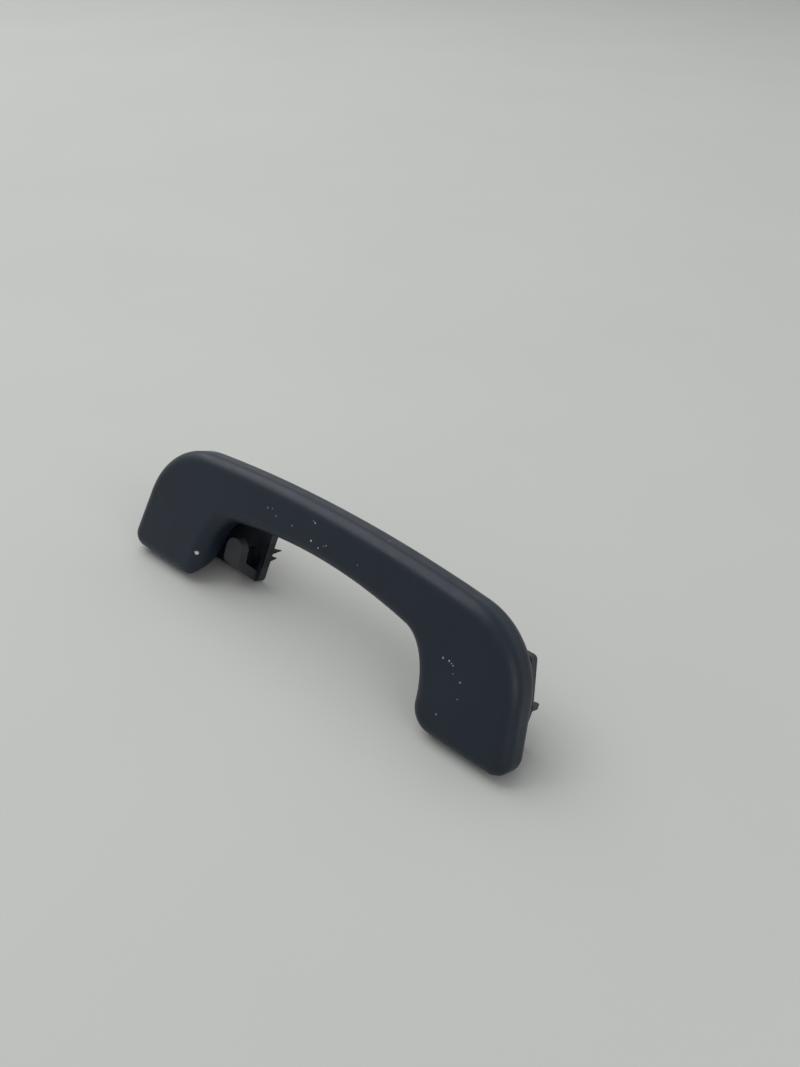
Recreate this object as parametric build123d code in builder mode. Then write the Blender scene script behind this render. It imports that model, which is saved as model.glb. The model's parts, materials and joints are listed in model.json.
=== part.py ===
# Fold-down roof grab handle: a moulded grip on two hinge brackets, with a return spring and a damper.
# Millimetres. X runs along the handle, Y points back to the roof rail and Z points up to the grip.
# The origin is midway between the two mounting screws, on the plane where the brackets meet the rail.

import os
from math import asin, degrees, sqrt

from build123d import *

os.makedirs("parts", exist_ok=True)

# Grip outline, seen from the front
foot_span = 214.0  # across the outer corners of the feet, before they are rounded
overall_height = 58.5
foot_drop = 25.0  # mounting screws down to the bottom of the feet
shoulder_drop = 6.75  # crown of the grip down to its outer corners
outer_slope = 0.18  # how far the outer edges lean out, going down
shoulder_radius = 33.0
foot_outer_radius = 6.5
foot_width = 45.5
foot_inner_radius = 10.0
inner_slope = 0.078
finger_height = 38.1  # bottom of the feet up to the grip's underside, at the middle
finger_arch = 4.9  # how far that underside falls towards the feet
blend_across = 13.6  # the curve from the foot's inner corner into the underside
blend_weight = 0.75

# Grip section
overall_depth = 25.0  # front face to mounting plane
grip_depth = 16.1
front_round = 5.3
back_round = 6.3
heel_start = 8.5  # where the rounded heel of a foot begins, behind the front face
heel_round = 8.5
scoop_start = 1.5  # the scoop at the inner corner of a foot, behind the front face
scoop_round = 13.0
scoop_reach = 20.0  # how far the scoop runs along the inner edge and along the bottom

# Pockets in the back of the feet
foot_wall = 2.6
pocket_front = 2.8
pocket_height = 38.5
pocket_round = 10.0

# Hinge
hinge_from_front = 11.0
hinge_above_foot = 9.0
pin_radius = 2.0
pin_overhang = 0.5
pin_chamfer = 0.4
press_clearance = 0.01
running_clearance = 0.05
knuckle_radius = 4.5
arm_width = 3.5
arm_spread = 24.0  # outside of one arm to the outside of the other
arm_low = 20.0  # where an arm meets its base plate, above the foot's bottom
arm_high = 34.0
arm_root = 5.0  # how far the top of an arm reaches forward of its base plate
ear_width = 3.0
ear_gap = 0.4
ear_slot = 3.4  # snap-in mouth for the pin
sink = 0.8  # how deep a rib or a boss is rooted in the wall that carries it

# Base plates of the brackets
screw_from_end = 27.0  # outer corner of the foot to the mounting screw
plate_thickness = 4.0
plate_low = 5.8  # above the bottom of the feet
plate_high = 39.0
plate_shoulder = 20.0  # height of the plate's widest point, above the bottom of the feet
plate_inset_high = 8.3  # from the outer edge of the foot, at the top of the plate
plate_inset_shoulder = 6.4
plate_inset_low = 9.0
plate_recess = 4.5  # inner edge of the foot to the start of the right plate, at its bottom
hook_plate_reach = 17.9  # how far the left plate sticks out past the inner edge of its foot
plate_end_slope = 0.065
plate_corner = 2.0
plate_shoulder_corner = 8.0

# Screw bosses and their steel sleeves
boss_radius = 6.5
boss_front = 8.0  # behind the front face
sleeve_radius = 4.5
screw_hole_radius = 3.3
boss_rib = 2.4

# Locating pegs
peg_length = 4.5
peg_width = 2.0
peg_thickness = 2.4

# Coat hook on the left bracket
hook_width = 9.6
hook_from_end = 1.2
hook_thickness = 4.0
hook_reach = 13.0
hook_tip = 24.9  # above the bottom of the feet
hook_rise = 0.55  # slope of the hook's arm
hook_bend = 5.0
hook_inner_bend = 2.4
hook_tip_round = 4.7
recess_radius = 4.5  # the round recess in the plate behind the hook
recess_depth = 2.9
recess_height = 15.6  # above the bottom of the feet

# Retaining clips
clip_thickness = 0.8
clip_height = 12.0
clip_middle = 18.8  # above the bottom of the feet
tooth_spacing = 3.6
tooth_base = 2.6
tooth_lengths = (3.6, 5.2)  # lower and upper

# Stop buffers
buffer_height = 34.0  # above the bottom of the feet
buffer_radius = 2.8
buffer_stem_radius = 1.5
buffer_stem_length = 4.0
buffer_gap = 0.05

# Return spring and its sleeve, in the left foot
wire_radius = 0.55
coil_clearance = 0.15
coil_pitch = 1.35
coil_turns = 5
spring_sleeve_wall = 0.95
spring_hole_clearance = 0.2
knee_bulge = 0.03  # at the bend from the coil into its end

# Damper, in the right foot
damper_radius = 5.7
damper_wall = 1.2
damper_end_wall = 1.2
damper_length = 7.3
damper_cap_thickness = 1.2
damper_end_gap = 0.2
rotor_radius = 3.9
rotor_neck_radius = 3.0
rotor_flange_radius = 4.3
rotor_flange_thickness = 0.9
rotor_dog_clearance = 0.1
seal_section_radius = 0.45
tab_width = 4.0
tab_bottom = 3.4  # above the hinge axis
tab_top = 5.6
tab_depth = 2.2  # how far the tab plugs into the base plate
tab_clearance = 0.1

# Places worked out from the sizes above
half_length = foot_span / 2
foot_z = -foot_drop
crown_z = foot_z + overall_height
front_y = -overall_depth
pocket_y = front_y + pocket_front
plate_front_y = -plate_thickness
hinge_y = front_y + hinge_from_front
hinge_z = foot_z + hinge_above_foot
boss_y = front_y + boss_front
screw_x = half_length - screw_from_end
foot_inner_x = half_length - foot_width
plate_inner_right = foot_inner_x + plate_recess
plate_inner_left = foot_inner_x - hook_plate_reach
arm_inner_x = screw_x - arm_spread / 2
arm_outer_x = screw_x + arm_spread / 2 - arm_width
ear_inner_x = arm_inner_x + arm_width + ear_gap
ear_outer_x = arm_outer_x - ear_gap - ear_width
plate_low_z = foot_z + plate_low
plate_high_z = foot_z + plate_high
plate_shoulder_z = foot_z + plate_shoulder
buffer_z = foot_z + buffer_height
hinge_plane = Plane(origin=(0, hinge_y, hinge_z), x_dir=(0, 1, 0), z_dir=(1, 0, 0))


def outer_edge_x(z):
    """The foot's outer edge at height z."""
    return half_length - outer_slope * (z - foot_z)


def plate_end_x(inner_x, z):
    """The inner end of a base plate at height z."""
    return inner_x - plate_end_slope * (z - plate_low_z)


def clip_plane(inner_x):
    """The plane of a base plate's inner end, at the middle of its clip, facing out of the plate."""
    clip_z = foot_z + clip_middle
    end = (plate_end_x(inner_x, clip_z), 0, clip_z)
    return Plane(origin=end, x_dir=(0, 1, 0), z_dir=(-1, 0, -plate_end_slope))


# Grip: one moulding, with a hollow foot at each end and two hinge ears in each foot
shoulder_z = crown_z - shoulder_drop
shoulder_x = outer_edge_x(shoulder_z)
underside_z = foot_z + finger_height
blend_x = foot_inner_x - blend_across
blend_z = underside_z - finger_arch
arch_radius = (blend_x**2 + finger_arch**2) / (2 * finger_arch)
arch_slope = -blend_x / (arch_radius - finger_arch)
bend_z = blend_z + arch_slope * (foot_inner_x - inner_slope * foot_z - blend_x)
bend_z = bend_z / (1 - arch_slope * inner_slope)
bend_x = foot_inner_x + inner_slope * (bend_z - foot_z)

with BuildPart() as grip:
    with BuildSketch(Plane.XZ.offset(overall_depth)) as grip_outline:
        with BuildLine():
            ThreePointArc((-shoulder_x, shoulder_z), (0, crown_z), (shoulder_x, shoulder_z))
            ThreePointArc((-blend_x, blend_z), (0, underside_z), (blend_x, blend_z))
            for side in (-1, 1):
                Line((side * shoulder_x, shoulder_z), (side * half_length, foot_z))
                Line((side * half_length, foot_z), (side * foot_inner_x, foot_z))
                Bezier(
                    (side * foot_inner_x, foot_z),
                    (side * bend_x, bend_z),
                    (side * blend_x, blend_z),
                    weights=[1.0, blend_weight, 1.0],
                )
        make_face()
        for side in (-1, 1):
            corners = grip_outline.vertices()
            fillet(corners.sort_by_distance((side * shoulder_x, shoulder_z))[0], shoulder_radius)
            corners = grip_outline.vertices()
            fillet(corners.sort_by_distance((side * half_length, foot_z))[0], foot_outer_radius)
    extrude(amount=-grip_depth)
    for side in (-1, 1):
        corner = (side * foot_inner_x, front_y + grip_depth / 2, foot_z)
        fillet(grip.edges().filter_by(Axis.Y).sort_by_distance(corner)[0], foot_inner_radius)
    fillet(grip.faces().sort_by(Axis.Y)[0].edges(), front_round)
    fillet(grip.faces().sort_by(Axis.Y)[-1].edges(), back_round)
    with BuildSketch(Plane.YZ.offset(-half_length)):
        with Locations((front_y + heel_start, foot_z + heel_round)):
            Rectangle(2 * heel_round, 2 * heel_round, align=(Align.MIN, Align.MAX))
            Circle(heel_round, mode=Mode.SUBTRACT)
    extrude(amount=foot_span, mode=Mode.SUBTRACT)
    for side in (-1, 1):
        corner = Vector(side * (foot_inner_x + foot_inner_radius), 0, foot_z + foot_inner_radius)
        outermost = corner + Vector(-side, 0, -1).normalized() * foot_inner_radius
        with BuildSketch(Plane(origin=outermost, x_dir=(0, 1, 0), z_dir=(1, 0, -side))):
            with Locations((front_y + scoop_start, scoop_round)):
                Rectangle(2 * scoop_round, 2 * scoop_round, align=(Align.MIN, Align.MAX))
                Circle(scoop_round, mode=Mode.SUBTRACT)
        extrude(amount=scoop_reach, both=True, mode=Mode.SUBTRACT)

    pocket_lean = foot_wall * sqrt(1 + outer_slope**2)
    pocket_low_z = foot_z + foot_wall
    pocket_high_z = foot_z + pocket_height
    for side in (-1, 1):
        with BuildSketch(Plane.XZ.offset(-pocket_y)) as pocket:
            with BuildLine():
                Polyline(
                    (side * (foot_inner_x + foot_wall), pocket_low_z),
                    (side * (outer_edge_x(pocket_low_z) - pocket_lean), pocket_low_z),
                    (side * (outer_edge_x(pocket_high_z) - pocket_lean), pocket_high_z),
                    (side * (foot_inner_x + foot_wall), pocket_high_z),
                    close=True,
                )
            make_face()
            shoulder = (side * (outer_edge_x(pocket_high_z) - pocket_lean), pocket_high_z)
            fillet(pocket.vertices().sort_by_distance(shoulder)[0], pocket_round)
            foot_corner = (side * (outer_edge_x(pocket_low_z) - pocket_lean), pocket_low_z)
            fillet(pocket.vertices().sort_by_distance(foot_corner)[0], foot_outer_radius - foot_wall)
            inner_corner = (side * (foot_inner_x + foot_wall), pocket_low_z)
            fillet(pocket.vertices().sort_by_distance(inner_corner)[0], foot_inner_radius - foot_wall)
        extrude(amount=-grip_depth, mode=Mode.SUBTRACT)

    ear_front = pocket_front - sink - hinge_from_front
    ear_bottom = foot_wall - sink - hinge_above_foot
    for ear_x in (ear_inner_x, ear_outer_x, -ear_inner_x - ear_width, -ear_outer_x - ear_width):
        with BuildSketch(hinge_plane.offset(ear_x)):
            with Locations((ear_front, ear_bottom)):
                Rectangle(-ear_front, knuckle_radius - ear_bottom, align=(Align.MIN, Align.MIN))
            Circle(knuckle_radius)
            Circle(pin_radius + running_clearance, mode=Mode.SUBTRACT)
            Rectangle(2 * knuckle_radius, ear_slot, align=(Align.MIN, Align.CENTER), mode=Mode.SUBTRACT)
        extrude(amount=ear_width)
grip.part.label = "grip"
export_step(grip.part, "parts/grip.step")


# Hinge brackets: base plate, two arms with knuckles, screw boss, buffer post and locating peg.
# Both are drawn on the +X side, and the left one is then mirrored.
plate_shoulder_x = outer_edge_x(plate_shoulder_z) - plate_inset_shoulder


def bracket_body(inner_x):
    """A bracket on the +X side, whose base plate starts at inner_x."""
    plate_outer_low = outer_edge_x(plate_low_z) - plate_inset_low
    plate_outer_high = outer_edge_x(plate_high_z) - plate_inset_high
    with BuildPart() as body:
        with BuildSketch(Plane.XZ) as plate:
            with BuildLine():
                Polyline(
                    (inner_x, plate_low_z),
                    (plate_outer_low, plate_low_z),
                    (plate_shoulder_x, plate_shoulder_z),
                    (plate_outer_high, plate_high_z),
                    (plate_end_x(inner_x, plate_high_z), plate_high_z),
                    close=True,
                )
            make_face()
            shoulder_corner = plate.vertices().sort_by_distance((plate_shoulder_x, plate_shoulder_z))[0]
            fillet(plate.vertices() - ShapeList([shoulder_corner]), plate_corner)
            shoulder_corner = plate.vertices().sort_by_distance((plate_shoulder_x, plate_shoulder_z))[0]
            fillet(shoulder_corner, plate_shoulder_corner)
        extrude(amount=plate_thickness)
        with BuildSketch(clip_plane(inner_x)):
            Rectangle(2 * plate_thickness, clip_height + 2 * press_clearance)
        extrude(amount=-clip_thickness, mode=Mode.SUBTRACT)

        for arm_x in (arm_inner_x, arm_outer_x):
            with BuildSketch(hinge_plane.offset(arm_x)) as arm:
                root_y = plate_front_y + sink - hinge_y
                with BuildLine():
                    CenterArc((0, 0), knuckle_radius, 0, 360)
                    Polyline(
                        (plate_front_y - arm_root - hinge_y, arm_high - hinge_above_foot),
                        (root_y, arm_high - hinge_above_foot),
                        (root_y, arm_low - hinge_above_foot),
                    )
                make_hull()
                Circle(pin_radius + press_clearance, mode=Mode.SUBTRACT)
            extrude(amount=arm_width)

        boss_length = plate_front_y - boss_y
        with BuildSketch(Plane.XZ.offset(-boss_y)):
            with Locations((screw_x, 0)):
                Circle(boss_radius)
            with Locations((screw_x, buffer_z)):
                Circle(buffer_radius)
        extrude(amount=-boss_length - sink)
        with BuildSketch(Plane.XZ.offset(-plate_front_y - sink)):
            with Locations((screw_x, 0)):
                Rectangle(arm_spread - arm_width, boss_rib)
        extrude(amount=arm_root + sink)
        with BuildSketch(Plane.XZ.offset(-boss_y)):
            with Locations((screw_x, 0)):
                Circle(sleeve_radius + press_clearance)
        extrude(amount=boss_y, mode=Mode.SUBTRACT)
        with BuildSketch(Plane.XZ.offset(-boss_y)):
            with Locations((screw_x, buffer_z)):
                Circle(buffer_stem_radius + press_clearance)
        extrude(amount=-buffer_stem_length, mode=Mode.SUBTRACT)

        peg_x = plate_shoulder_x - peg_thickness / 2
        with BuildSketch(Plane.XY.offset(plate_shoulder_z - peg_width / 2)):
            with Locations((peg_x, 0)):
                SlotCenterToCenter(2 * (peg_length - peg_thickness / 2), peg_thickness, rotation=90)
            with Locations((peg_x, -sink)):
                Rectangle(2 * peg_thickness, peg_length * 2, align=(Align.CENTER, Align.MAX), mode=Mode.SUBTRACT)
        extrude(amount=peg_width)
    return body.part


with BuildPart() as hinge_bracket_right:
    add(bracket_body(plate_inner_right))
    with Locations((screw_x, plate_front_y, hinge_z + tab_bottom - tab_clearance)):
        Box(
            tab_width + 2 * tab_clearance,
            tab_depth,
            tab_top - tab_bottom + 2 * tab_clearance,
            align=(Align.CENTER, Align.MIN, Align.MIN),
            mode=Mode.SUBTRACT,
        )
hinge_bracket_right.part.label = "hinge_bracket_right"
export_step(hinge_bracket_right.part, "parts/hinge_bracket_right.step")

# The left bracket carries the coat hook, with a round blind recess in the plate behind it
hook_plane = Plane(origin=(0, plate_front_y, plate_low_z), x_dir=(0, 1, 0), z_dir=(1, 0, 0))
hook_x = plate_inner_left + hook_from_end
hook_tip_z = hook_tip - plate_low
hook_arm_height = hook_thickness * sqrt(1 + hook_rise**2)
hook_back = hook_reach - hook_thickness
recess_x = hook_x + hook_width / 2
recess_z = foot_z + recess_height
coil_radius = pin_radius + running_clearance + spring_sleeve_wall + coil_clearance + wire_radius
coil_start_x = ear_inner_x + ear_width + ear_gap + wire_radius
coil_plane = Plane(origin=(coil_start_x, hinge_y, hinge_z), x_dir=(0, 0, 1), z_dir=(1, 0, 0))
ear_leg_angle = -degrees(asin((ear_slot / 2 - wire_radius - running_clearance) / coil_radius))
turns = coil_turns + (270 + ear_leg_angle) / 360
coil = coil_plane * Helix(coil_pitch, turns * coil_pitch, coil_radius)
plate_leg = Plane(origin=coil @ 0, z_dir=coil % 0)
plate_leg_length = plate_front_y + tab_depth - wire_radius - hinge_y

with BuildPart() as left_bracket_drawn_right:
    add(bracket_body(plate_inner_left))
    with BuildSketch(hook_plane.offset(hook_x)) as hook:
        with BuildLine():
            Polyline(
                (sink, 0),
                (0, 0),
                (-hook_reach, hook_rise * hook_reach),
                (-hook_reach, hook_tip_z),
                (-hook_back, hook_tip_z),
                (-hook_back, hook_rise * hook_back + hook_arm_height),
                (0, hook_arm_height),
                (sink, hook_arm_height),
                close=True,
            )
        make_face()
        bend = hook.vertices().sort_by_distance((-hook_reach, hook_rise * hook_reach))[0]
        fillet(bend, hook_bend)
        bend = hook.vertices().sort_by_distance((-hook_back, hook_rise * hook_back + hook_arm_height))[0]
        fillet(bend, hook_inner_bend)
    extrude(amount=hook_width)
    tip_middle = (hook_x + hook_width / 2, plate_front_y - hook_reach + hook_thickness / 2, foot_z + hook_tip)
    tip_edges = left_bracket_drawn_right.edges().filter_by(Axis.Y).sort_by_distance(tip_middle)[:2]
    fillet(tip_edges, hook_tip_round)
    with BuildSketch(Plane.XZ.offset(plate_thickness)):
        with Locations((recess_x, recess_z)):
            Circle(recess_radius)
    extrude(amount=-recess_depth, mode=Mode.SUBTRACT)
    with BuildSketch(plate_leg):
        Circle(wire_radius + spring_hole_clearance)
    extrude(amount=-plate_leg_length - spring_hole_clearance, mode=Mode.SUBTRACT)

with BuildPart() as hinge_bracket_left:
    mirror(left_bracket_drawn_right.part, about=Plane.YZ)
hinge_bracket_left.part.label = "hinge_bracket_left"
export_step(hinge_bracket_left.part, "parts/hinge_bracket_left.step")

# Hinge pins: pressed into the bracket's arms, and a running fit in the grip's ears
with BuildPart() as hinge_pin_right:
    with BuildSketch(hinge_plane.offset(arm_inner_x - pin_overhang)):
        Circle(pin_radius)
    extrude(amount=arm_spread + 2 * pin_overhang)
    chamfer(hinge_pin_right.edges().filter_by(GeomType.CIRCLE), pin_chamfer)
hinge_pin_right.part.label = "hinge_pin_right"
export_step(hinge_pin_right.part, "parts/hinge_pin_right.step")

with BuildPart() as hinge_pin_left:
    mirror(hinge_pin_right.part, about=Plane.YZ)
hinge_pin_left.part.label = "hinge_pin_left"
export_step(hinge_pin_left.part, "parts/hinge_pin_left.step")

# Steel sleeves that take the clamping force of the mounting screws
with BuildPart() as mounting_sleeve_right:
    with BuildSketch(Plane.XZ):
        with Locations((screw_x, 0)):
            Circle(sleeve_radius)
            Circle(screw_hole_radius, mode=Mode.SUBTRACT)
    extrude(amount=-boss_y)
mounting_sleeve_right.part.label = "mounting_sleeve_right"
export_step(mounting_sleeve_right.part, "parts/mounting_sleeve_right.step")

with BuildPart() as mounting_sleeve_left:
    mirror(mounting_sleeve_right.part, about=Plane.YZ)
mounting_sleeve_left.part.label = "mounting_sleeve_left"
export_step(mounting_sleeve_left.part, "parts/mounting_sleeve_left.step")


# Retaining clips: spring steel moulded into the inner end of each base plate. Their teeth grip the rail.
def clip_body(inner_x):
    """A clip on the +X side, for the base plate that starts at inner_x."""
    with BuildPart() as body:
        with BuildSketch(clip_plane(inner_x)):
            Rectangle(plate_thickness, clip_height, align=(Align.MAX, Align.CENTER))
            for direction, length in zip((1, -1), tooth_lengths):
                middle = direction * tooth_spacing / 2
                with BuildLine():
                    Polyline(
                        (-sink, middle - tooth_base / 2),
                        (0, middle - tooth_base / 2),
                        (length, middle),
                        (0, middle + tooth_base / 2),
                        (-sink, middle + tooth_base / 2),
                        close=True,
                    )
                make_face()
        extrude(amount=-clip_thickness)
    return body.part


with BuildPart() as retaining_clip_right:
    add(clip_body(plate_inner_right))
retaining_clip_right.part.label = "retaining_clip_right"
export_step(retaining_clip_right.part, "parts/retaining_clip_right.step")

with BuildPart() as retaining_clip_left:
    mirror(clip_body(plate_inner_left), about=Plane.YZ)
retaining_clip_left.part.label = "retaining_clip_left"
export_step(retaining_clip_left.part, "parts/retaining_clip_left.step")

# Stop buffers: rubber studs in the bracket posts, which the closed grip leans on
with BuildPart() as stop_buffer_right:
    with BuildSketch(Plane.XZ.offset(-boss_y)):
        with Locations((screw_x, buffer_z)):
            Circle(buffer_radius)
    extrude(amount=boss_y - pocket_y - buffer_gap)
    with BuildSketch(Plane.XZ.offset(-boss_y)):
        with Locations((screw_x, buffer_z)):
            Circle(buffer_stem_radius)
    extrude(amount=-buffer_stem_length)
stop_buffer_right.part.label = "stop_buffer_right"
export_step(stop_buffer_right.part, "parts/stop_buffer_right.step")

with BuildPart() as stop_buffer_left:
    mirror(stop_buffer_right.part, about=Plane.YZ)
stop_buffer_left.part.label = "stop_buffer_left"
export_step(stop_buffer_left.part, "parts/stop_buffer_left.step")

# Spring sleeve and return spring. One end of the wire is in the base plate, the other in the ear's slot.
sleeve_start_x = ear_inner_x + ear_width + ear_gap
sleeve_end_x = ear_outer_x - ear_gap
with BuildPart() as spring_sleeve:
    with BuildSketch(hinge_plane.offset(-sleeve_end_x)):
        Circle(pin_radius + running_clearance + spring_sleeve_wall)
        Circle(pin_radius + running_clearance, mode=Mode.SUBTRACT)
    extrude(amount=sleeve_end_x - sleeve_start_x)
spring_sleeve.part.label = "spring_sleeve"
export_step(spring_sleeve.part, "parts/spring_sleeve.step")

ear_leg = coil @ 1
with BuildPart() as spring_drawn_right:
    with BuildSketch(plate_leg):
        Circle(wire_radius)
    sweep(path=coil)
    with BuildSketch(plate_leg):
        Circle(wire_radius)
    extrude(amount=-plate_leg_length)
    with Locations(ear_leg):
        Sphere(wire_radius + knee_bulge)
    with BuildSketch(Plane(origin=ear_leg, x_dir=(0, 1, 0), z_dir=(1, 0, 0))):
        Circle(wire_radius)
    extrude(amount=ear_outer_x + ear_width - wire_radius - ear_leg.X)
with BuildPart() as return_spring:
    mirror(spring_drawn_right.part, about=Plane.YZ)
return_spring.part.label = "return_spring"
export_step(return_spring.part, "parts/return_spring.step")

# Damper: a housing keyed to the right bracket, and a rotor that turns with the grip
damper_x = ear_inner_x + ear_width + ear_gap
cap_x = damper_x + damper_length
rotor_end_x = ear_outer_x - damper_end_gap
bore_radius = pin_radius + running_clearance

with BuildPart() as damper_housing:
    with BuildSketch(hinge_plane.offset(damper_x)):
        Circle(damper_radius)
        Circle(bore_radius, mode=Mode.SUBTRACT)
    extrude(amount=damper_length)
    with BuildSketch(hinge_plane.offset(damper_x + damper_end_wall)):
        Circle(damper_radius - damper_wall)
    extrude(amount=damper_length, mode=Mode.SUBTRACT)
    tab_start = sqrt((damper_radius - damper_wall / 2) ** 2 - tab_bottom**2)
    with Locations((screw_x, hinge_y + tab_start, hinge_z + tab_bottom)):
        Box(
            tab_width,
            plate_front_y + tab_depth - tab_clearance - hinge_y - tab_start,
            tab_top - tab_bottom,
            align=(Align.CENTER, Align.MIN, Align.MIN),
        )
damper_housing.part.label = "damper_housing"
export_step(damper_housing.part, "parts/damper_housing.step")

seal_radius = rotor_neck_radius + running_clearance + seal_section_radius
with BuildPart() as damper_cap:
    with BuildSketch(hinge_plane.offset(cap_x)):
        Circle(damper_radius)
        Circle(rotor_neck_radius + running_clearance, mode=Mode.SUBTRACT)
    extrude(amount=damper_cap_thickness)
    with BuildSketch(hinge_plane.offset(cap_x)):
        Circle(seal_radius + seal_section_radius + running_clearance)
    extrude(amount=2 * seal_section_radius, mode=Mode.SUBTRACT)
damper_cap.part.label = "damper_cap"
export_step(damper_cap.part, "parts/damper_cap.step")

with BuildPart() as damper_seal:
    seal_plane = hinge_plane.offset(cap_x + seal_section_radius)
    with Locations(seal_plane):
        Torus(seal_radius, seal_section_radius)
damper_seal.part.label = "damper_seal"
export_step(damper_seal.part, "parts/damper_seal.step")

with BuildPart() as damper_rotor:
    with BuildSketch(hinge_plane.offset(damper_x + damper_end_wall + damper_end_gap)):
        Circle(rotor_radius)
    extrude(amount=damper_length - damper_end_wall - 2 * damper_end_gap)
    with BuildSketch(hinge_plane.offset(cap_x - damper_end_gap)):
        Circle(rotor_neck_radius)
    extrude(amount=rotor_end_x - cap_x + damper_end_gap)
    with BuildSketch(hinge_plane.offset(rotor_end_x - rotor_flange_thickness)):
        Circle(rotor_flange_radius)
    extrude(amount=rotor_flange_thickness)
    with BuildSketch(hinge_plane.offset(rotor_end_x)):
        Rectangle(
            rotor_flange_radius,
            ear_slot - 2 * rotor_dog_clearance,
            align=(Align.MIN, Align.CENTER),
        )
    extrude(amount=ear_width - damper_end_gap)
    with BuildSketch(hinge_plane.offset(damper_x)):
        Circle(bore_radius)
    extrude(amount=arm_spread, mode=Mode.SUBTRACT)
damper_rotor.part.label = "damper_rotor"
export_step(damper_rotor.part, "parts/damper_rotor.step")
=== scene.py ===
import json
from math import asin, cos, pi, radians, sin, tau

import bpy
from mathutils import Matrix, Vector


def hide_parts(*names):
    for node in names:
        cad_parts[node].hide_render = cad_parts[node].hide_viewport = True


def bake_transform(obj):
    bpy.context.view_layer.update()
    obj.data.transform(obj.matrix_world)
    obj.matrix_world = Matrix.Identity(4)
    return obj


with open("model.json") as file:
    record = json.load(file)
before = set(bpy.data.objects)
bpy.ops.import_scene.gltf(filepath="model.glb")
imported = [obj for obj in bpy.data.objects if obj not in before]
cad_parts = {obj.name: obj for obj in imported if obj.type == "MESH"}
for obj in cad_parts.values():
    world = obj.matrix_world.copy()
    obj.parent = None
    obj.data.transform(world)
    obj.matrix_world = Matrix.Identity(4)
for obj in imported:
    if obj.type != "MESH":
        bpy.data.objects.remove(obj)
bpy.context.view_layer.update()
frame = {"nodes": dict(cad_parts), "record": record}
nodes = frame["nodes"]
MM = 0.001

# Camera, fitted to the photo's outline. It is set by where the aim point falls in the image.
AZIMUTH = radians(35.036)
ELEVATION = radians(16.628)
ROLL = radians(16.706)
DISTANCE = 0.41667
FOCAL_PX = 1047.108
AIM_PX = (288.333, 646.638)
AIM_POINT = Vector((0, -0.025, -0.025))
IMAGE = (800, 1067)
SENSOR = 36.0

# The surface that the handle lies on. It leans back on its heels and on the plates' rear edges.
LEAN = radians(21.3)
HEEL_RADIUS = 0.0085
HEEL_CENTRE = Vector((0, -0.0165, -0.0165))
FLOOR_HALF = 4.0
FLOOR_COLOURS = ((0.471, 0.479, 0.458), (0.484, 0.492, 0.47))
WORLD_STRENGTH = 0.55

# Return spring
WIRE_RADIUS = 0.55 * MM
COIL_RADIUS = 3.7 * MM
COIL_PITCH = 1.35 * MM
COIL_START = Vector((-75.85, -14.0, -16.0)) * MM
COIL_TURNS = 5 + (270 - 180 / pi * asin(1.1 / 3.7)) / 360
PLATE_LEG = 11.65 * MM
EAR_LEG_END = -87.55 * MM
COIL_STEPS = 160

# Pale specks and scratches on the grip: place and radius in millimetres, and strength
SPECK_COLOUR = (0.72, 0.73, 0.71)
SPECK_WOBBLE = 0.7 * MM
GRIP_SPECULAR = 0.3
MARKS = [
    ((-63.9, -23.4, -12.1), 1.35, 1.0),
    ((-62.3, -22.3, -8.6), 0.45, 0.33),
    ((-61.9, -22.0, -7.6), 0.4, 0.26),
    ((-3.5, -25.0, 26.9), 0.42, 0.49),
    ((-4.5, -25.0, 27.3), 0.3, 0.33),
    ((-3.2, -25.0, 19.6), 0.45, 0.55),
    ((1.2, -25.0, 18.5), 0.4, 0.39),
    ((4.7, -25.0, 20.9), 0.38, 0.33),
    ((3.6, -25.0, 20.2), 0.28, 0.26),
    ((-14.5, -25.0, 21.1), 0.35, 0.26),
    ((-29.3, -25.0, 22.7), 0.5, 0.16),
    ((-26.8, -25.0, 23.4), 0.4, 0.16),
    ((-24.1, -25.0, 21.4), 0.5, 0.16),
    ((15.1, -18.4, 33.1), 0.4, 0.33),
    ((28.6, -19.6, 32.8), 0.4, 0.36),
    ((21.6, -25.0, 20.4), 0.3, 0.23),
    ((69.4, -25.0, 5.9), 0.4, 0.39),
    ((72.1, -25.0, 6.1), 0.45, 0.45),
    ((73.2, -25.0, 5.7), 0.3, 0.33),
    ((74.2, -25.0, 5.3), 0.35, 0.39),
    ((75.2, -25.0, 2.6), 0.32, 0.26),
    ((79.0, -25.0, 1.1), 0.45, 0.39),
    ((73.8, -25.0, -14.6), 0.4, 0.29),
    ((80.0, -25.0, -5.1), 0.35, 0.23),
]


def add(tree, kind, **values):
    """A shader node with its settings and input values."""
    node = tree.nodes.new(kind)
    for key, value in values.items():
        if key in node.inputs:
            node.inputs[key].default_value = value
        else:
            setattr(node, key, value)
    return node


def noise(tree, coordinate, scale, detail):
    """The noise value at a scale per metre."""
    texture = add(tree, "ShaderNodeTexNoise", Scale=scale, Detail=detail)
    tree.links.new(coordinate, texture.inputs["Vector"])
    return texture.outputs["Fac"]


def remap(tree, value, low, high, start=0.3, end=0.7):
    """A value between start and end, brought to between low and high."""
    node = tree.nodes.new("ShaderNodeMapRange")
    tree.links.new(value, node.inputs["Value"])
    node.inputs["From Min"].default_value = start
    node.inputs["From Max"].default_value = end
    node.inputs["To Min"].default_value = low
    node.inputs["To Max"].default_value = high
    return node.outputs["Result"]


def mix(tree, factor, first, second):
    """Two colours mixed by a factor. Either one may be a socket."""
    node = add(tree, "ShaderNodeMix", data_type="RGBA")
    tree.links.new(factor, node.inputs["Factor"])
    for socket, colour in (("A", first), ("B", second)):
        target = [i for i in node.inputs if i.name == socket and i.type == "RGBA"][0]
        if isinstance(colour, bpy.types.NodeSocket):
            tree.links.new(colour, target)
        else:
            target.default_value = (*colour, 1)
    return [o for o in node.outputs if o.type == "RGBA"][0]


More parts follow.
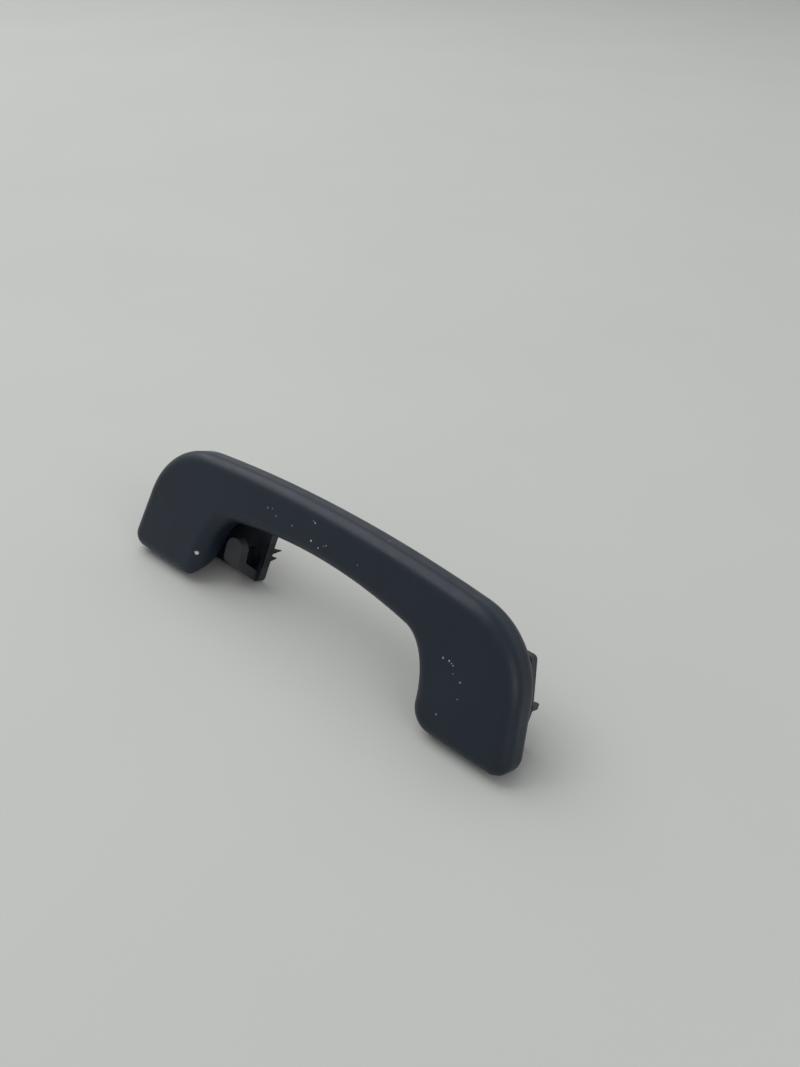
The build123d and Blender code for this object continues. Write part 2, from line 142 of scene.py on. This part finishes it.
def start_material(name):
    """A new material, with its tree, its shader and the object's own coordinates."""
    material = bpy.data.materials.new(name)
    material.use_nodes = True
    tree = material.node_tree
    shader = tree.nodes["Principled BSDF"]
    coordinate = tree.nodes.new("ShaderNodeTexCoord").outputs["Object"]
    return material, tree, shader, coordinate


def add_bump(tree, shader, layers):
    """Bumps on the shader's normal: pairs of a height and its depth in metres."""
    normal = None
    for height, depth in layers:
        bump = add(tree, "ShaderNodeBump", Strength=1.0, Distance=depth)
        tree.links.new(height, bump.inputs["Height"])
        if normal is not None:
            tree.links.new(normal, bump.inputs["Normal"])
        normal = bump.outputs["Normal"]
    tree.links.new(normal, shader.inputs["Normal"])


def mark_mask(tree, coordinate):
    """Where the pale specks are, from 0 to 1."""
    texture = add(tree, "ShaderNodeTexNoise", Scale=1500.0, Detail=2.0)
    tree.links.new(coordinate, texture.inputs["Vector"])
    shift = add(tree, "ShaderNodeVectorMath", operation="MULTIPLY_ADD")
    tree.links.new(texture.outputs["Color"], shift.inputs[0])
    shift.inputs[1].default_value = (SPECK_WOBBLE,) * 3
    tree.links.new(coordinate, shift.inputs[2])
    centred = add(tree, "ShaderNodeVectorMath", operation="SUBTRACT")
    tree.links.new(shift.outputs["Vector"], centred.inputs[0])
    centred.inputs[1].default_value = (SPECK_WOBBLE / 2,) * 3
    total = None
    for place, radius, strength in MARKS:
        distance = add(tree, "ShaderNodeVectorMath", operation="DISTANCE")
        tree.links.new(centred.outputs["Vector"], distance.inputs[0])
        distance.inputs[1].default_value = Vector(place) * MM
        spot = remap(tree, distance.outputs["Value"], strength, 0.0, 0.6 * radius * MM, radius * MM)
        if total is None:
            total = spot
        else:
            largest = add(tree, "ShaderNodeMath", operation="MAXIMUM")
            tree.links.new(total, largest.inputs[0])
            tree.links.new(spot, largest.inputs[1])
            total = largest.outputs["Value"]
    return total


def plastic(name, colour, shade, roughness, grain, marks=False):
    """Moulded plastic with a fine grain, a little sheen variation and, on the grip, pale specks."""
    material, tree, shader, coordinate = start_material(name)
    cloud = noise(tree, coordinate, 45.0, 4.0)
    surface = mix(tree, remap(tree, cloud, 0.0, 1.0), colour, shade)
    rough = remap(tree, noise(tree, coordinate, 160.0, 5.0), roughness - 0.05, roughness + 0.05)
    if marks:
        mask = mark_mask(tree, coordinate)
        surface = mix(tree, mask, surface, SPECK_COLOUR)
        shader.inputs["Specular IOR Level"].default_value = GRIP_SPECULAR
    tree.links.new(surface, shader.inputs["Base Color"])
    tree.links.new(rough, shader.inputs["Roughness"])
    fine = noise(tree, coordinate, 2600.0, 2.0)
    coarse = noise(tree, coordinate, 900.0, 3.0)
    add_bump(tree, shader, [(coarse, grain), (fine, 0.6 * grain)])
    return material


def steel(name, colour, roughness, along):
    """Drawn or plated steel with fine lines along one direction."""
    material, tree, shader, coordinate = start_material(name)
    stretch = add(tree, "ShaderNodeVectorMath", operation="MULTIPLY")
    tree.links.new(coordinate, stretch.inputs[0])
    stretch.inputs[1].default_value = along
    lines = noise(tree, stretch.outputs["Vector"], 3000.0, 3.0)
    cloud = noise(tree, coordinate, 300.0, 4.0)
    shade = tuple(0.75 * c for c in colour)
    tree.links.new(mix(tree, remap(tree, cloud, 0.0, 1.0), colour, shade), shader.inputs["Base Color"])
    tree.links.new(remap(tree, lines, roughness - 0.08, roughness + 0.1), shader.inputs["Roughness"])
    shader.inputs["Metallic"].default_value = 1.0
    add_bump(tree, shader, [(lines, 0.004 * MM)])
    return material


def rubber(name):
    """Matt black rubber."""
    material, tree, shader, coordinate = start_material(name)
    cloud = noise(tree, coordinate, 250.0, 4.0)
    surface = mix(tree, remap(tree, cloud, 0.0, 1.0), (0.012, 0.012, 0.012), (0.022, 0.021, 0.02))
    tree.links.new(surface, shader.inputs["Base Color"])
    tree.links.new(remap(tree, cloud, 0.75, 0.9), shader.inputs["Roughness"])
    add_bump(tree, shader, [(noise(tree, coordinate, 1800.0, 3.0), 0.03 * MM)])
    return material


handle_plastic = plastic(
    "handle_plastic", (0.0095, 0.0165, 0.028), (0.008, 0.014, 0.024), 0.42, 0.012 * MM, True
)
# The bracket plastic is a little greyer than the grip's, and slightly darker as painted shade for the
# shadow the brackets sit in under the grip.
bracket_plastic = plastic(
    "bracket_plastic", (0.011, 0.0145, 0.0195), (0.009, 0.012, 0.0165), 0.48, 0.008 * MM
)
damper_plastic = plastic("damper_plastic", (0.03, 0.03, 0.033), (0.024, 0.024, 0.027), 0.42, 0.005 * MM)
sleeve_plastic = plastic("sleeve_plastic", (0.55, 0.55, 0.52), (0.5, 0.5, 0.47), 0.38, 0.005 * MM)
plated_steel = steel("plated_steel", (0.52, 0.52, 0.5), 0.32, (0.05, 1.0, 1.0))
clip_steel = steel("clip_steel", (0.05, 0.05, 0.055), 0.45, (1.0, 0.05, 1.0))
spring_steel = steel("spring_steel", (0.25, 0.25, 0.26), 0.3, (1.0, 1.0, 1.0))
rubber_black = rubber("rubber_black")

finishes = {
    "handle_plastic": handle_plastic,
    "bracket_plastic": bracket_plastic,
    "damper_plastic": damper_plastic,
    "sleeve_plastic": sleeve_plastic,
    "steel": plated_steel,
    "clip_steel": clip_steel,
    "spring_steel": spring_steel,
    "rubber": rubber_black,
}
for subpart in frame["record"]["subparts"]:
    mesh = nodes[subpart["node"]].data
    mesh.materials.clear()
    mesh.materials.append(finishes[subpart["material_slot"]])


# Return spring, built as one fixed wire. On the handle, one end stays in the base plate and the other
# turns with the grip.
def coil_point(turn):
    """A point on the spring's coil, after so many turns."""
    angle = tau * turn
    return COIL_START + Vector((-COIL_PITCH * turn, -COIL_RADIUS * sin(angle), COIL_RADIUS * cos(angle)))


route = [coil_point(COIL_TURNS * i / COIL_STEPS) for i in range(COIL_STEPS + 1)]
lead = (route[0] - route[1]).normalized() * PLATE_LEG
route = [route[0] + lead] + route
route.append(Vector((EAR_LEG_END, route[-1].y, route[-1].z)))
wire = bpy.data.curves.new("return_spring_wire", "CURVE")
wire.dimensions = "3D"
wire.bevel_depth = WIRE_RADIUS
wire.bevel_resolution = 4
wire.use_fill_caps = True
spline = wire.splines.new("POLY")
spline.points.add(len(route) - 1)
for point, place in zip(spline.points, route):
    point.co = (*place, 1)
guide = bpy.data.objects.new("return_spring_guide", wire)
spring_mesh = bpy.data.meshes.new_from_object(guide)
bpy.data.objects.remove(guide)
spring = bpy.data.objects.new("wound_spring", spring_mesh)
bpy.context.scene.collection.objects.link(spring)
for face in spring_mesh.polygons:
    face.use_smooth = True
spring_mesh.materials.clear()
spring_mesh.materials.append(spring_steel)
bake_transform(spring)
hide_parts("return_spring")

# Camera
back = Vector((sin(AZIMUTH) * cos(ELEVATION), -cos(AZIMUTH) * cos(ELEVATION), sin(ELEVATION)))
level = Vector((cos(AZIMUTH), sin(AZIMUTH), 0))
rise = back.cross(level)
right = cos(ROLL) * level + sin(ROLL) * rise
up = -sin(ROLL) * level + cos(ROLL) * rise
aim_right = (AIM_PX[0] - IMAGE[0] / 2) / FOCAL_PX * DISTANCE
aim_up = -(AIM_PX[1] - IMAGE[1] / 2) / FOCAL_PX * DISTANCE
eye = AIM_POINT - right * aim_right - up * aim_up + back * DISTANCE
camera_data = bpy.data.cameras.new("camera")
camera_data.sensor_width = SENSOR
camera_data.lens = FOCAL_PX * SENSOR / IMAGE[1]
camera_data.clip_start = 0.01
camera = bpy.data.objects.new("camera", camera_data)
axes = Matrix((right, up, back)).transposed()
camera.matrix_world = Matrix.Translation(eye) @ axes.to_4x4()
bpy.context.scene.collection.objects.link(camera)
bpy.context.scene.camera = camera

# Floor: a pale table top, clear from below
table_up = Vector((0, -sin(LEAN), cos(LEAN)))
table_level = HEEL_CENTRE.dot(table_up) - HEEL_RADIUS
floor_mesh = bpy.data.meshes.new("floor")
corners = [(x * FLOOR_HALF, y * FLOOR_HALF, 0) for x, y in ((-1, -1), (1, -1), (1, 1), (-1, 1))]
floor_mesh.from_pydata(corners, [], [(0, 1, 2, 3)])
floor = bpy.data.objects.new("floor", floor_mesh)
floor.rotation_euler = (LEAN, 0, 0)
floor.location = table_up * table_level
bpy.context.scene.collection.objects.link(floor)
floor_material, floor_tree, floor_shader, floor_coordinate = start_material("floor_paint")
floor_cloud = noise(floor_tree, floor_coordinate, 6.0, 3.0)
floor_colour = mix(floor_tree, remap(floor_tree, floor_cloud, 0.0, 1.0), *FLOOR_COLOURS)
floor_tree.links.new(floor_colour, floor_shader.inputs["Base Color"])
floor_shader.inputs["Roughness"].default_value = 0.7
floor_shader.inputs["Specular IOR Level"].default_value = 0.2
clear = floor_tree.nodes.new("ShaderNodeBsdfTransparent")
either = floor_tree.nodes.new("ShaderNodeMixShader")
geometry = floor_tree.nodes.new("ShaderNodeNewGeometry")
floor_tree.links.new(geometry.outputs["Backfacing"], either.inputs["Fac"])
floor_tree.links.new(floor_shader.outputs["BSDF"], either.inputs[1])
floor_tree.links.new(clear.outputs["BSDF"], either.inputs[2])
floor_tree.links.new(either.outputs["Shader"], floor_tree.nodes["Material Output"].inputs["Surface"])
floor_mesh.materials.append(floor_material)

# Light
world = bpy.data.worlds.new("world")
world.use_nodes = True
world.node_tree.nodes["Background"].inputs["Color"].default_value = (0.97, 0.98, 1.0, 1)
world.node_tree.nodes["Background"].inputs["Strength"].default_value = WORLD_STRENGTH
bpy.context.scene.world = world


def lamp(name, direction, distance, size, power, colour):
    """A square soft light that faces the object."""
    data = bpy.data.lights.new(name, "AREA")
    data.size = size
    data.energy = power
    data.color = colour
    light = bpy.data.objects.new(name, data)
    towards = Vector(direction).normalized()
    light.location = towards * distance
    light.rotation_euler = towards.to_track_quat("Z", "Y").to_euler()
    bpy.context.scene.collection.objects.link(light)


lamp("window_light", (-0.54, -0.2, 0.8), 2.5, 2.6, 42.0, (1.0, 1.0, 1.0))
lamp("near_light", (-0.35, -0.6, 0.68), 0.65, 0.2, 0.35, (1.0, 1.0, 1.0))
lamp("side_light", (0.9, -0.35, 0.3), 2.5, 1.5, 12.0, (1.0, 1.0, 1.0))

bpy.context.scene.view_settings.view_transform = "Standard"
